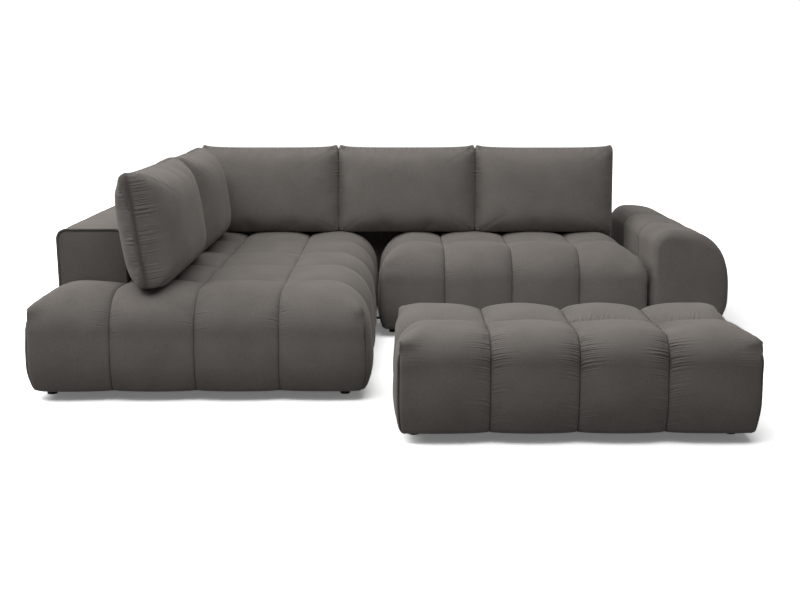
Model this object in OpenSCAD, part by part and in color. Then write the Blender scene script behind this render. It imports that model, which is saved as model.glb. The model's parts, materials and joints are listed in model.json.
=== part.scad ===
// Corner sofa with a matching footstool: tufted seats, low piped backs, a channelled arm
// and five loose back cushions. Millimetres; +X to the side of the arm, +Y to the rear, +Z up.

/* [Tufted seats] */
// Height of the seats at the crown of a tuft
seat_h = 444; // [410:2:470]
// Height of the footstool at the crown of a tuft
stool_h = 402; // [380:2:450]
// How far a sewn seam sinks below the crown
seam_sink = 34; // [22:1:38]
// Width of a tuft between two seams
tuft_w = 327; // [290:1:360]
// Depth of a tuft between two seams
tuft_d = 354; // [330:1:380]
// Width of a footstool tuft between two seams
stool_tuft_w = 304; // [280:1:340]
// Depth of a footstool tuft
stool_tuft_d = 301; // [280:1:340]
// Reach of the rounded upper edge over the top
edge_reach = 185; // [165:1:190]
// Drop of the rounded upper edge down the sides
edge_drop = 180; // [150:1:185]
// How far the sides swell out below that edge
belly = 8; // [4:1:14]
// How far the sides draw in again at the bottom
tuck = 22; // [10:1:26]
// Thickness of the quilted cover with its wadding at the sides
side_wall = 66; // [62:1:69]
// Thickness of the cover with its wadding over the seat foam
top_wall = 50; // [45:1:60]
// Height of the foam's upper step, which is narrower than its lower step
foam_step = 60; // [50:1:70]
// How far the upper step stands in from the lower one
foam_step_in = 84; // [75:1:100]

/* [Chaise section] */
// Tufts across the chaise
chaise_cols = 4; // [3:1:5]
// Tufts along the chaise
chaise_rows = 6; // [5:1:7]
// Width of the tuft at the left end
chaise_first_w = 346; // [320:1:380]
// Width of the tuft at the right end
chaise_last_w = 362; // [320:1:390]
// Distance of the right feet from the right side
chaise_foot_right = 112; // [80:1:130]

/* [Straight section] */
// Tufts across the straight seat
seat_cols = 4; // [3:1:5]
// Tufts along the straight seat
seat_rows = 3; // [2:1:4]
// Depth of the straight seat
seat_depth = 1078; // [1000:1:1150]
// Width of the tuft next to the chaise
seat_first_w = 324; // [300:1:360]
// Width of the tuft next to the arm
seat_last_w = 338; // [300:1:370]
// Gap between the chaise and the straight seat
module_gap = 6; // [4:1:12]

/* [Footstool] */
// Tufts across the footstool
stool_cols = 4; // [3:1:5]
// Tufts along the footstool
stool_rows = 2; // [2:1:3]
// Reach of the footstool's rounded upper edge over the top
stool_edge_reach = 115; // [100:1:125]
// Drop of the footstool's rounded upper edge
stool_edge_drop = 120; // [100:1:130]
// Width of its end tufts
stool_end_w = 335; // [310:1:370]
// Left side of the footstool, from the left side of the chaise
stool_x = 1442; // [1400:1:1800]
// How far the footstool stands out in front of the chaise
stool_out = 496; // [300:1:900]

/* [Backs] */
// How far the deck that carries the backs lies below the seams in front of it
deck_below = 30; // [20:1:32]
// Height of the backs above that deck
back_h = 254; // [210:1:300]
// Thickness of a back
back_t = 280; // [240:1:280]
// Distance of the backs from the outer sides of the seats
back_inset = 66; // [40:1:66]
// Radius of the long upper edges of a back
back_edge_r = 40; // [20:1:55]
// Diameter of the piping
piping_d = 9; // [6:1:12]
// Height of the piping's lower ends above the seat deck
piping_low = 16; // [15:1:30]
// Thickness of the padded cover of a back
back_wall = 35; // [25:1:45]
// Thickness of the foam on top of a back's frame
back_foam_t = 40; // [20:1:60]
// Gap between neighbouring pieces of upholstery
piece_gap = 2; // [1:0.5:4]

/* [Arm] */
// Width of the arm at its widest
arm_w = 380; // [340:1:420]
// Height of the arm above the floor
arm_h = 530; // [500:1:600]
// Height of the widest place of the arm
arm_wide_h = 190; // [180:1:290]
// Distance of the arm's ridge from its inner side
arm_ridge = 80; // [70:1:140]
// Form of the arm's outer shoulder: 1 is a plain ellipse, and less is squarer
arm_shoulder = 0.74; // [0.5:0.01:1]
// Radius of the rounded front and rear ends
arm_end_r = 65; // [40:1:90]
// How far the outer side draws in at the bottom
arm_tuck = 62; // [30:1:80]
// Depth of the seams that cross the arm
arm_sink = 16; // [15:1:36]
// Thickness of the arm's cover beside the frame
arm_wall = 58; // [54:1:70]
// Width of the arm's frame
arm_frame_w = 205; // [170:1:215]
// Height of the arm's frame
arm_frame_h = 330; // [280:1:350]
// Thickness of the foam on top of the arm's frame
arm_foam_t = 60; // [30:1:70]

/* [Back cushions] */
// Width of a rear cushion
cushion_w = 719; // [640:1:740]
// Height of a cushion along its face, before it settles
cushion_h = 475; // [440:1:520]
// Thickness of a rear cushion
cushion_t = 220; // [190:1:240]
// Thickness of a side cushion
side_cushion_t = 280; // [240:1:300]
// Width of the front side cushion
front_cushion_w = 792; // [700:1:820]
// Width of the side cushion in the corner
corner_cushion_w = 700; // [640:1:710]
// Distance of the front side cushion from the front edge
cushion_front = 66; // [50:1:120]
// Left end of the row of rear cushions
cushion_left = 432; // [425:1:480]
// Gap between cushions
cushion_gap = 4; // [3:0.5:8]
// Lean of the cushions
cushion_lean = 7.5; // [5:0.1:9]
// How far a cushion's upper edge draws in between its corners
cushion_draw = 12; // [6:1:24]
// How far a cushion's sides draw in between its corners
cushion_side_draw = 5; // [3:1:10]
// How far the lower edge is pressed flat
cushion_settle = 18; // [10:1:24]
// Length of the zip opening in the lower seam of a cushion
zip_l = 400; // [300:1:480]
// Width of the zip opening
zip_w = 3; // [2:0.5:6]

/* [Frame] */
// Thickness of the frame boards
board_t = 25; // [18:1:30]
// Height of the top of the seat frames
frame_top = 256; // [230:1:270]
// Width of a webbing strap
strap_w = 60; // [40:1:80]
// Thickness of a webbing strap
strap_t = 2; // [1:0.5:3]
// Thickness of the bottom cloth
cloth_t = 2; // [1:0.5:3]
// Side of a foot block
block_w = 62; // [50:1:80]
// Height of a foot block
block_h = 80; // [50:1:110]

/* [Feet] */
// Height of a foot
foot_h = 38; // [30:1:50]
// Diameter of a foot
foot_d = 40; // [30:1:60]
// Distance of the feet from the sides
foot_side = 74; // [74:1:90]
// Distance of the feet from the front and the rear
foot_end = 154; // [120:1:200]
// Diameter of a foot's stud
stud_d = 8; // [6:1:10]
// Length of a foot's stud
stud_l = 30; // [20:1:40]

/* [Joining plates] */
// Distance of the plates from the front and the rear of the straight seat
plate_end = 300; // [240:1:400]
// Width of a joining plate
plate_w = 45; // [30:1:60]
// Thickness of a joining plate
plate_t = 3; // [2:0.5:5]
// Diameter of a plate screw
screw_d = 6; // [4:0.5:8]
// Length of a plate screw in the wood
screw_l = 32; // [20:1:40]

/* [Hidden] */

FABRIC = [0.34, 0.32, 0.30];
PIPING = [0.27, 0.25, 0.24];
FOAM = [0.93, 0.86, 0.62];
FIBRE = [0.95, 0.95, 0.93];
WOOD = [0.79, 0.63, 0.42];
STRAP = [0.16, 0.16, 0.17];
CLOTH = [0.10, 0.10, 0.10];
PLASTIC = [0.05, 0.05, 0.05];
STEEL = [0.62, 0.63, 0.65];

clear = 0.3;
cut = 1;
round_fn = 48;
straps_per_row = 2;
post_pitch = 500;

// Seam positions along one side, both ends included
function seams(start, count, first, mid, last) = concat(
    [start], [for (i = [0 : count - 2]) start + first + i * mid],
    [start + first + (count - 2) * mid + last]);
function first_of(list) = list[0];
function last_of(list) = list[len(list) - 1];

chaise_x = seams(0, chaise_cols, chaise_first_w, tuft_w, chaise_last_w);
chaise_y = seams(0, chaise_rows, tuft_d, tuft_d, tuft_d);
seat_x = seams(last_of(chaise_x) + module_gap, seat_cols, seat_first_w, tuft_w, seat_last_w);
rear_y = last_of(chaise_y);
seat_front = rear_y - seat_depth;
seat_y = seams(seat_front, seat_rows, tuft_d, tuft_d, seat_depth - (seat_rows - 1) * tuft_d);
stool_xs = seams(stool_x, stool_cols, stool_end_w, stool_tuft_w, stool_end_w);
stool_ys = seams(-stool_out, stool_rows, stool_tuft_d, stool_tuft_d, stool_tuft_d);
arm_x = last_of(seat_x) + module_gap;
arm_y = seat_y;
total_w = arm_x + arm_w;

// The middle of the whole group on the floor is the origin
centre = [total_w / 2, (rear_y - stool_out) / 2, 0];

deck_z = seat_h - seam_sink - deck_below;
back_front = rear_y - back_inset - back_t;
left_back_x = back_inset;
left_back_y = chaise_y[1] + piece_gap;
left_back_inner = left_back_x + back_t;
frame_z = foot_h + cloth_t;

// A seat is its seams across, its seams front to rear, its height, its feet across and front to rear,
// the reach and drop of its rounded edge, and the height of its foam's upper step
chaise_feet_x = [foot_side, last_of(chaise_x) - chaise_foot_right];
chaise = [chaise_x, chaise_y, seat_h, chaise_feet_x,
          [foot_end, rear_y / 2, rear_y - foot_end], edge_reach, edge_drop, foam_step];
seat = [seat_x, seat_y, seat_h, [first_of(seat_x) + foot_side, last_of(seat_x) - foot_side],
        [seat_front + foot_end, rear_y - foot_end], edge_reach, edge_drop, foam_step];
stool = [stool_xs, stool_ys, stool_h, [first_of(stool_xs) + foot_side, last_of(stool_xs) - foot_side],
         [first_of(stool_ys) + foot_end, last_of(stool_ys) - foot_end],
         stool_edge_reach, stool_edge_drop, 0];
function left_of(s) = first_of(s[0]);
function right_of(s) = last_of(s[0]);
function front_of(s) = first_of(s[1]);
function back_of(s) = last_of(s[1]);
function top_of(s) = s[2];
function rows_of(s) = len(s[1]) - 1;
function reach_of(s) = s[5];
function drop_of(s) = s[6];
function step_of(s) = s[7];

// Tufted form

// Fullness of a tuft at p: 0 on a seam, 1 from half way to the next one
function swell(t) = sqrt(1 - pow(1 - min(1, t), 2));
function fullness(p, lines) = min(concat([1], [for (i = [1 : len(lines) - 2])
    swell(2 * abs(p - lines[i]) / abs(lines[p < lines[i] ? i - 1 : i + 1] - lines[i]))]));

// Places along a side where the form is measured
edge_angles = [0, 25, 43, 65, 90];
function stations(lines, reach) = let (n = len(lines) - 1) concat(
    [for (angle = edge_angles) lines[0] + reach * (1 - cos(angle))],
    [lines[0] + 0.75 * (lines[1] - lines[0])],
    n > 2 ? [for (i = [1 : n - 2], part = [0, 0.25, 0.5, 0.75])
        lines[i] + part * (lines[i + 1] - lines[i])] : [],
    [lines[n - 1], lines[n - 1] + 0.25 * (lines[n] - lines[n - 1])],
    [for (k = [len(edge_angles) - 1 : -1 : 0]) lines[n] - reach * (1 - cos(edge_angles[k]))]);

function clamped(value, low, high) = max(low, min(high, value));

// Plan of a soft-cornered rectangle: place, outward direction and distance from the outline.
// A higher power makes squarer corners.
corner_power = 3.5;
function plan(x, y, box, reach) = let (
    cx = max(0, 1 - min(x - box[0], box[1] - x) / reach),
    cy = max(0, 1 - min(y - box[2], box[3] - y) / reach),
    side_x = sign(2 * x - box[0] - box[1]), side_y = sign(2 * y - box[2] - box[3]),
    near = max(cx, cy),
    size = pow(pow(cx, corner_power) + pow(cy, corner_power), 1 / corner_power),
    pulled = reach * (1 - (size > 0 ? near / size : 1)),
    out = [side_x * pow(cx, corner_power - 1), side_y * pow(cy, corner_power - 1)],
    unit = size > 0 ? out / norm(out) : out)
    [x - side_x * cx * pulled, y - side_y * cy * pulled, unit[0], unit[1], reach * (1 - near)];

function top_point(x, y, s, box, deck) = let (
    at = plan(x, y, box, reach_of(s)),
    c = max(0, 1 - at[4] / reach_of(s)), sn = sqrt(1 - c * c),
    slope = [c / reach_of(s), sn / drop_of(s)], unit = slope / norm(slope),
    sink = seam_sink * (1 - fullness(x, s[0]) * fullness(y, s[1])),
    z = top_of(s) - drop_of(s) * (1 - sn) - unit[1] * sink,
    on_deck = len([for (d = deck) if (x <= d[0] && y >= d[1] || y >= d[2]) d]) > 0)
    [at[0] - at[2] * unit[0] * sink, at[1] - at[3] * unit[0] * sink, on_deck ? min(z, deck_z) : z];

// Shares of a side's height where it is measured, and how much shallower its seams end at the floor
side_shares = [0.25, 0.5, 0.75, 1];
side_fade = 0.3;

// Outward offset of a side at share f of its height, from the top edge down
function side_offset(f) = f <= 0.5 ? belly * sin(180 * f) : belly - (belly + tuck) * pow(2 * f - 1, 2);
function side_point(x, y, s, box, f) = let (
    at = plan(x, y, box, reach_of(s)),
    sink = seam_sink * (1 - fullness(x, s[0]) * fullness(y, s[1])) * (1 - side_fade * f),
    out = side_offset(f) - sink)
    [at[0] + at[2] * out, at[1] + at[3] * out, (top_of(s) - drop_of(s)) * (1 - f) + foot_h * f];

module tufted(s, deck = []) {
    box = [left_of(s) + belly, right_of(s) - belly, front_of(s) + belly, back_of(s) - belly];
    xs = stations([for (x = s[0]) clamped(x, box[0], box[1])], reach_of(s));
    ys = stations([for (y = s[1]) clamped(y, box[2], box[3])], reach_of(s));
    nx = len(xs);
    ny = len(ys);
    ring = concat([for (i = [0 : nx - 1]) [i, 0]], [for (j = [1 : ny - 1]) [nx - 1, j]],
                  [for (i = [nx - 2 : -1 : 0]) [i, ny - 1]], [for (j = [ny - 2 : -1 : 1]) [0, j]]);
    n = len(ring);
    levels = len(side_shares);
    points = concat(
        [for (j = [0 : ny - 1], i = [0 : nx - 1]) top_point(xs[i], ys[j], s, box, deck)],
        [for (f = side_shares, r = ring) side_point(xs[r[0]], ys[r[1]], s, box, f)],
        [[(box[0] + box[1]) / 2, (box[2] + box[3]) / 2, foot_h]]);
    function rim(level, k) = let (r = ring[k % n])
        level == 0 ? r[1] * nx + r[0] : nx * ny + (level - 1) * n + k % n;
    middle = nx * ny + levels * n;
    faces = concat(
        [for (j = [0 : ny - 2], i = [0 : nx - 2], half = [0, 1])
            let (a = j * nx + i, b = a + 1, d = a + nx, c = d + 1) half == 0 ? [a, d, c] : [a, c, b]],
        [for (level = [0 : levels - 1], k = [0 : n - 1], half = [0, 1]) half == 0
            ? [rim(level, k), rim(level, k + 1), rim(level + 1, k + 1)]
            : [rim(level, k), rim(level + 1, k + 1), rim(level + 1, k)]],
        [for (k = [0 : n - 1]) [middle, rim(levels, k), rim(levels, k + 1)]]);
    polyhedron(points, faces, convexity = 6);
}

// Pieces of a seat

function cavity_top(s) = top_of(s) - seam_sink - top_wall;
module cavity_box(s, inset, high) {
    translate([left_of(s) + inset, front_of(s) + inset, foot_h - cut])
        cube([right_of(s) - left_of(s) - 2 * inset, back_of(s) - front_of(s) - 2 * inset,
              high - foot_h + cut]);
}
module seat_cavity(s) {
    cavity_box(s, side_wall, cavity_top(s) - step_of(s));
    if (step_of(s) > 0) cavity_box(s, side_wall + foam_step_in, cavity_top(s));
}

module quilted_cover(s, deck = []) {
    difference() {
        tufted(s, deck);
        seat_cavity(s);
    }
}

// A board inside a seat's cavity: insets from left, right, front and rear, and heights
module inside(s, left, right, front, rear, low, high) {
    inset = side_wall + clear;
    translate([left_of(s) + inset + left, front_of(s) + inset + front, low])
        cube([right_of(s) - left_of(s) - 2 * inset - left - right,
              back_of(s) - front_of(s) - 2 * inset - front - rear, high - low]);
}

module studs(s, d) {
    for (x = s[3], y = s[4]) translate([x, y, foot_h]) cylinder(d = d, h = stud_l, $fn = 24);
}

module screws_at(d, low, h) {
    for (p = plate_places, side = [-1, 1])
        translate([p[0] + side * p[2] / 2, p[1], low]) cylinder(d = d, h = h, $fn = 24);
}

module seat_foam_slab(s) {
    low = frame_top + strap_t + clear;
    high = cavity_top(s) - clear;
    in = foam_step_in;
    inside(s, 0, 0, 0, 0, low, high - step_of(s));
    if (step_of(s) > 0) inside(s, in, in, in, in, low, high);
}

module straps(s) {
    count = straps_per_row * rows_of(s);
    length = back_of(s) - front_of(s) - 2 * (side_wall + clear);
    pitch = length / count;
    for (i = [0 : count - 1])
        translate([left_of(s) + side_wall + clear,
                   front_of(s) + side_wall + clear + (i + 0.5) * pitch - strap_w / 2, frame_top])
            cube([right_of(s) - left_of(s) - 2 * (side_wall + clear), strap_w, strap_t]);
}

module end_rail(s, at_front) {
    inner = back_of(s) - front_of(s) - 2 * (side_wall + clear) - board_t;
    inside(s, board_t, board_t, at_front ? 0 : inner, at_front ? inner : 0, frame_z, frame_top);
}

module side_rails(s) {
    inner = right_of(s) - left_of(s) - 2 * (side_wall + clear) - board_t;
    difference() {
        union() {
            inside(s, 0, inner, 0, 0, frame_z, frame_top);
            inside(s, inner, 0, 0, 0, frame_z, frame_top);
        }
        studs(s, stud_d);
        screws_at(screw_d, foot_h - cut, screw_l + cut);
    }
}

module cross_rails(s) {
    count = rows_of(s) - 1;
    length = back_of(s) - front_of(s) - 2 * (side_wall + clear);
    for (i = [1 : count]) {
        front = i * length / (count + 1) - board_t / 2;
        inside(s, board_t, board_t, front, length - front - board_t, frame_z + block_h, frame_top);
    }
}

// Blocks glued to the side rails at the feet
module foot_blocks(s) {
    rail_end = side_wall + clear + board_t;
    difference() {
        for (x = [left_of(s) + rail_end, right_of(s) - rail_end - block_w], y = s[4])
            translate([x, y - block_w / 2, frame_z]) cube([block_w, block_w, block_h]);
        studs(s, stud_d);
    }
}

// Slits in a bottom cloth for a stud and for the screws of the joining plates
module slit(x, y, d) {
    side = d + 2 * clear;
    translate([x - side / 2, y - side / 2, foot_h - cut]) cube([side, side, frame_z - foot_h + 2 * cut]);
}
module screw_slits() {
    for (p = plate_places, side = [-1, 1]) slit(p[0] + side * p[2] / 2, p[1], screw_d);
}

module bottom_cloth(s) {
    difference() {
        inside(s, 0, 0, 0, 0, foot_h, frame_z);
        for (x = s[3], y = s[4]) slit(x, y, stud_d);
        screw_slits();
    }
}

module feet(s) {
    for (x = s[3], y = s[4]) translate([x, y, 0]) cylinder(d = foot_d, h = foot_h, $fn = 32);
    studs(s, stud_d);
}

// Low backs, made along X with their front at y = 0

module back_profile() {
    square([back_t, back_h - back_edge_r]);
    translate([back_edge_r, 0]) square([back_t - 2 * back_edge_r, back_h]);
    for (y = [back_edge_r, back_t - back_edge_r])
        translate([y, back_h - back_edge_r]) circle(r = back_edge_r, $fn = round_fn);
}

module back_cover(length) {
    difference() {
        rotate([90, 0, 90]) linear_extrude(length) back_profile();
        translate([back_wall, back_wall, -cut])
            cube([length - 2 * back_wall, back_t - 2 * back_wall, back_h - back_wall + cut]);
    }
}

module back_inside(length, low, high) {
    translate([back_wall + clear, back_wall + clear, low])
        cube([length - 2 * (back_wall + clear), back_t - 2 * (back_wall + clear), high - low]);
}

module back_foam(length) {
    back_inside(length, back_h - back_wall - back_foam_t, back_h - back_wall - clear);
}

// A carcass of two long boards with posts between them
module back_frame(length) {
    top = back_h - back_wall - back_foam_t - clear;
    gaps = ceil(length / post_pitch);
    span = length - 2 * (back_wall + clear) - board_t;
    back_inside(length, 0, board_t);
    back_inside(length, top - board_t, top);
    for (i = [0 : gaps])
        translate([back_wall + clear + i * span / gaps, back_wall + clear, board_t])
            cube([board_t, back_t - 2 * (back_wall + clear), top - 2 * board_t]);
}

module left_back_place() {
    translate([left_back_inner, left_back_y, deck_z]) rotate([0, 0, 90]) children();
}
module rear_back_place(x) {
    translate([x, back_front, deck_z]) children();
}
left_back_len = rear_y - back_inset - left_back_y;
chaise_back_x = left_back_inner + piece_gap;
chaise_back_len = last_of(chaise_x) - chaise_back_x;
seat_back_x = first_of(seat_x);
seat_back_len = last_of(seat_x) - back_inset - seat_back_x;

// Piping round the front panel of the left back, up one edge, over the top and down the other
piping_section = [for (angle = [0 : 45 : 315]) piping_d / 2 * [cos(angle), sin(angle)]];
module piping_path() {
    r = piping_d / 2;
    bend = back_edge_r - r;
    for (x = [r, back_t - r])
        translate([x, 0, piping_low])
            linear_extrude(back_h - back_edge_r - piping_low) polygon(piping_section);
    translate([back_edge_r, 0, back_h - r]) rotate([0, 90, 0])
        linear_extrude(back_t - 2 * back_edge_r) polygon(piping_section);
    for (x = [back_edge_r, back_t - back_edge_r])
        translate([x, 0, back_h - back_edge_r]) rotate([90, 0, 0])
            intersection() {
                rotate_extrude($fn = round_fn) translate([bend, 0]) polygon(piping_section);
                translate([x == back_edge_r ? -2 * bend : 0, 0, -2 * r]) cube([2 * bend, 2 * bend, 4 * r]);
            }
}

// Arm

// Points of the arm's section, from the inner foot over the ridge to the outer foot
inner_round = [for (a = [0 : 22.5 : 90]) [arm_ridge * (1 - cos(a)), arm_h - arm_ridge * (1 - sin(a))]];
outer_round = [for (a = [75 : -15 : 0])
    [arm_ridge + (arm_w - arm_ridge) * pow(cos(a), arm_shoulder),
     arm_wide_h + (arm_h - arm_wide_h) * pow(sin(a), arm_shoulder)]];
outer_foot = [for (part = [0.35, 0.7, 1])
    [arm_w - arm_tuck * part * part, arm_wide_h + (foot_h - arm_wide_h) * part]];
arm_section = concat([[tuck, foot_h], [0, arm_wide_h]], inner_round, outer_round, outer_foot);
arm_heart = [arm_w / 2, arm_wide_h];

// The section drawn in towards its heart, with its foot left on the floor side
function drawn_in(p, by) = let (away = p - arm_heart, q = arm_heart + away * (1 - by / norm(away)))
    [q[0], p[1] <= foot_h ? foot_h : q[1]];

module arm_form() {
    ys = stations(arm_y, arm_end_r);
    n = len(arm_section);
    m = len(ys);
    function inset(y) = let (t = min(y - arm_y[0], last_of(arm_y) - y), c = max(0, 1 - t / arm_end_r))
        arm_end_r * (1 - sqrt(1 - c * c)) + arm_sink * (1 - fullness(y, arm_y));
    points = concat(
        [for (y = ys, p = arm_section) let (q = drawn_in(p, inset(y))) [arm_x + q[0], y, q[1]]],
        [for (y = [ys[0], ys[m - 1]]) [arm_x + arm_heart[0], y, arm_heart[1]]]);
    faces = concat(
        [for (j = [0 : m - 2], i = [0 : n - 1], half = [0, 1])
            let (a = j * n + i, b = j * n + (i + 1) % n, c = b + n, d = a + n)
                half == 0 ? [a, d, c] : [a, c, b]],
        [for (i = [0 : n - 1]) [n * m, i, (i + 1) % n]],
        [for (i = [0 : n - 1]) [n * m + 1, (m - 1) * n + (i + 1) % n, (m - 1) * n + i]]);
    polyhedron(points, faces, convexity = 6);
}

module arm_inside(gap, low, high) {
    translate([arm_x + arm_wall + gap, seat_front + arm_end_r + gap, low])
        cube([arm_frame_w - 2 * gap, seat_depth - 2 * (arm_end_r + gap), high - low]);
}

arm_feet_y = [seat_front + foot_end, rear_y - foot_end];
arm_feet_x = arm_x + arm_wall + arm_frame_w - foot_side / 2;
module arm_studs() {
    for (y = arm_feet_y) translate([arm_feet_x, y, foot_h]) cylinder(d = stud_d, h = stud_l, $fn = 24);
}

module arm_carcass() {
    top = arm_frame_h;
    span = seat_depth - 2 * (arm_end_r + clear) - board_t;
    gaps = ceil(span / post_pitch);
    difference() {
        union() {
            arm_inside(clear, frame_z, frame_z + block_w);
            arm_inside(clear, top - board_t, top);
            for (i = [0 : gaps])
                translate([arm_x + arm_wall + clear,
                           seat_front + arm_end_r + clear + i * span / gaps, frame_z + board_t])
                    cube([arm_frame_w - 2 * clear, board_t, top - frame_z - 2 * board_t]);
        }
        arm_studs();
        screws_at(screw_d, foot_h - cut, screw_l + cut);
    }
}

// Back cushions

// Shares of a cushion's half width and half height where its form is measured
cushion_us = [for (a = [-90 : 15 : 90]) sin(a)];
cushion_vs = [for (a = [-90 : 18 : 90]) sin(a)];

// Half the thickness at u across and v up, each from -1 to 1; higher powers are fuller at the edges
power_across = 3.2;
power_above = 2.6;
power_below = 4;
function cushion_half(u, v, t) = t / 2 * sqrt((1 - pow(abs(u), power_across))
    * (1 - pow(abs(v), v > 0 ? power_above : power_below)));

// Height of a seat along the crowns of its tufts, as its facets have it
function facet_height(p, lines) = let (
    i = max([for (k = [0 : len(lines) - 2]) if (lines[k] <= p) k]),
    step = (lines[i + 1] - lines[i]) / 4,
    low = lines[i] + floor((p - lines[i]) / step) * step,
    share = (p - low) / step,
    full = fullness(low, lines) * (1 - share) + fullness(low + step, lines) * share)
    seat_h - seam_sink * (1 - full);
function crest(lines, low, high) = max([for (p = [low : 1 : high]) facet_height(p, lines)]);

// A cushion's section: v up from -1 to 1 on its front (-1) or rear (1), resting at height rest
flat_below = cushion_settle / cos(cushion_lean) - cushion_h / 2;
function cushion_middle_z(rest) = rest - cushion_settle + cushion_h / 2 * cos(cushion_lean);
function section_point(up, back, rest) = [
    max(flat_below, up) * sin(cushion_lean) + back * cos(cushion_lean),
    cushion_middle_z(rest) + up * cos(cushion_lean) - back * sin(cushion_lean)];

// Front face of a back at height z, behind the plane of its front
function back_face(z) = let (above = max(0, z - deck_z - back_h + back_edge_r))
    back_edge_r - sqrt(pow(back_edge_r, 2) - pow(above, 2));

// Place of a cushion's middle in front of that plane, where its rear leans on the back
function cushion_middle_y(t, rest) = min([for (v = [-0.9 : 0.02 : 0.6]) let (
    p = section_point(cushion_h / 2 * v, cushion_half(0, v, t), rest))
    if (p[1] < deck_z + back_h) back_face(p[1]) - p[0]]) - clear;

// Distances of the flat under a cushion from that plane
function flat_range(t) = let (
    middle = -cushion_middle_y(t, seat_h) - flat_below * sin(cushion_lean),
    half = cushion_half(0, cushion_vs[1], t))
    [middle - half, middle + half];
function rest_in_front(lines, t) =
    crest(lines, back_front - flat_range(t)[1], back_front - flat_range(t)[0]) + clear;
function rest_beside(lines, t) =
    crest(lines, left_back_inner + flat_range(t)[0], left_back_inner + flat_range(t)[1]) + clear;

// A cushion is its width, its thickness and the height that it rests at
front_side = [front_cushion_w, side_cushion_t, rest_beside(chaise_x, side_cushion_t)];
corner_side = [corner_cushion_w, side_cushion_t, rest_beside(chaise_x, side_cushion_t)];
left_rear = [cushion_w, cushion_t, rest_in_front(chaise_y, cushion_t)];
right_rear = [cushion_w, cushion_t, rest_in_front(seat_y, cushion_t)];
middle_rear = [cushion_w, cushion_t, max(left_rear[2], right_rear[2])];

module cushion_form(c) {
    w = c[0];
    t = c[1];
    rest = c[2];
    nu = len(cushion_us);
    nv = len(cushion_vs);
    function place(u, v, side) = let (
        up = cushion_h / 2 * v - (v > 0 ? cushion_draw * v * (1 - pow(u, 6)) : 0),
        folded = max(0, flat_below - up),
        x = u * (w / 2 - cushion_side_draw * (1 - v * v) - folded),
        p = section_point(up, side * cushion_half(u, v, t), rest))
        [x, cushion_middle_y(t, rest) + p[0], max(rest, p[1])];
    grid = nu * nv;
    points = concat(
        [for (v = cushion_vs, u = cushion_us) place(u, v, -1)],
        [for (v = cushion_vs, u = cushion_us) place(u, v, 1)]);
    // The rear shares its outermost points with the front: the seam
    function point(i, j, rear) = j * nu + i
        + (rear && i > 0 && i < nu - 1 && j > 0 && j < nv - 1 ? grid : 0);
    // Each cell is split along the diagonal that points to the nearest corner
    function cell(i, j, rear) = let (
        a = point(i, j, rear), b = point(i + 1, j, rear),
        c = point(i + 1, j + 1, rear), d = point(i, j + 1, rear))
        i < (nu - 1) / 2 == j < (nv - 1) / 2 ? [[a, d, c], [a, c, b]] : [[a, d, b], [d, c, b]];
    cells = [for (j = [0 : nv - 2], i = [0 : nu - 2]) [i, j]];
    faces = concat(
        [for (q = cells) each cell(q[0], q[1], false)],
        [for (q = cells, f = cell(q[0], q[1], true)) [f[0], f[2], f[1]]]);
    polyhedron(points, faces, convexity = 4);
}

// Shares of a cushion's width, thickness and height that its filling block takes
fill_shares = [0.74, 0.5, 0.62];
module cushion_middle(c) {
    translate([0, cushion_middle_y(c[1], c[2]), cushion_middle_z(c[2])])
        rotate([-cushion_lean, 0, 0]) children();
}

module cushion_block(c, gap) {
    size = [c[0] * fill_shares[0], c[1] * fill_shares[1], cushion_h * fill_shares[2]];
    cushion_middle(c) cube([for (side = size) side - 2 * gap], center = true);
}

module cushion_cover(c) {
    difference() {
        cushion_form(c);
        cushion_block(c, 0);
        cushion_middle(c) translate([-zip_l / 2, -zip_w / 2, -cushion_h])
            cube([zip_l, zip_w, cushion_h]);
    }
}

module side_cushion_place(y) {
    translate([left_back_inner, y, 0]) rotate([0, 0, 90]) children();
}
module rear_cushion_place(index) {
    translate([cushion_left + cushion_w / 2 + index * (cushion_w + cushion_gap), back_front, 0]) children();
}
front_cushion_y = cushion_front + front_cushion_w / 2;
corner_cushion_y = cushion_front + front_cushion_w + cushion_gap + corner_cushion_w / 2;

// Places of the joining plates: middle of the joint, place along Y and distance between screws

chaise_joint = (last_of(chaise_x) + first_of(seat_x)) / 2;
arm_joint_left = last_of(seat_x) - side_wall - clear - board_t / 2;
arm_joint_right = arm_x + arm_wall + board_t;
arm_joint = (arm_joint_left + arm_joint_right) / 2;
plate_rows = [seat_front + plate_end, rear_y - plate_end];
plate_places = concat(
    [for (y = plate_rows) [chaise_joint, y, 2 * (side_wall + clear) + board_t + module_gap]],
    [for (y = plate_rows) [arm_joint, y, arm_joint_right - arm_joint_left]]);

module plates() {
    for (p = plate_places) difference() {
        translate([p[0] - p[2] / 2 - board_t / 2, p[1] - plate_w / 2, foot_h - plate_t])
            cube([p[2] + board_t, plate_w, plate_t]);
        screws_at(screw_d, foot_h - plate_t - cut, plate_t + 2 * cut);
    }
}

// Sub-parts

// The deck is flat under the backs: beside the first column line and behind the last row line
module chaise_cover() color(FABRIC)
    quilted_cover(chaise, [[chaise_x[1], chaise_y[1], chaise_y[chaise_rows - 1]]]);
module chaise_foam() color(FOAM) seat_foam_slab(chaise);
module chaise_webbing() color(STRAP) straps(chaise);
module chaise_front_rail() color(WOOD) end_rail(chaise, true);
module chaise_back_rail() color(WOOD) end_rail(chaise, false);
module chaise_side_rails() color(WOOD) side_rails(chaise);
module chaise_cross_rails() color(WOOD) cross_rails(chaise);
module chaise_foot_blocks() color(WOOD) foot_blocks(chaise);
module chaise_bottom_cloth() color(CLOTH) bottom_cloth(chaise);
module chaise_feet() color(PLASTIC) feet(chaise);

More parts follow.
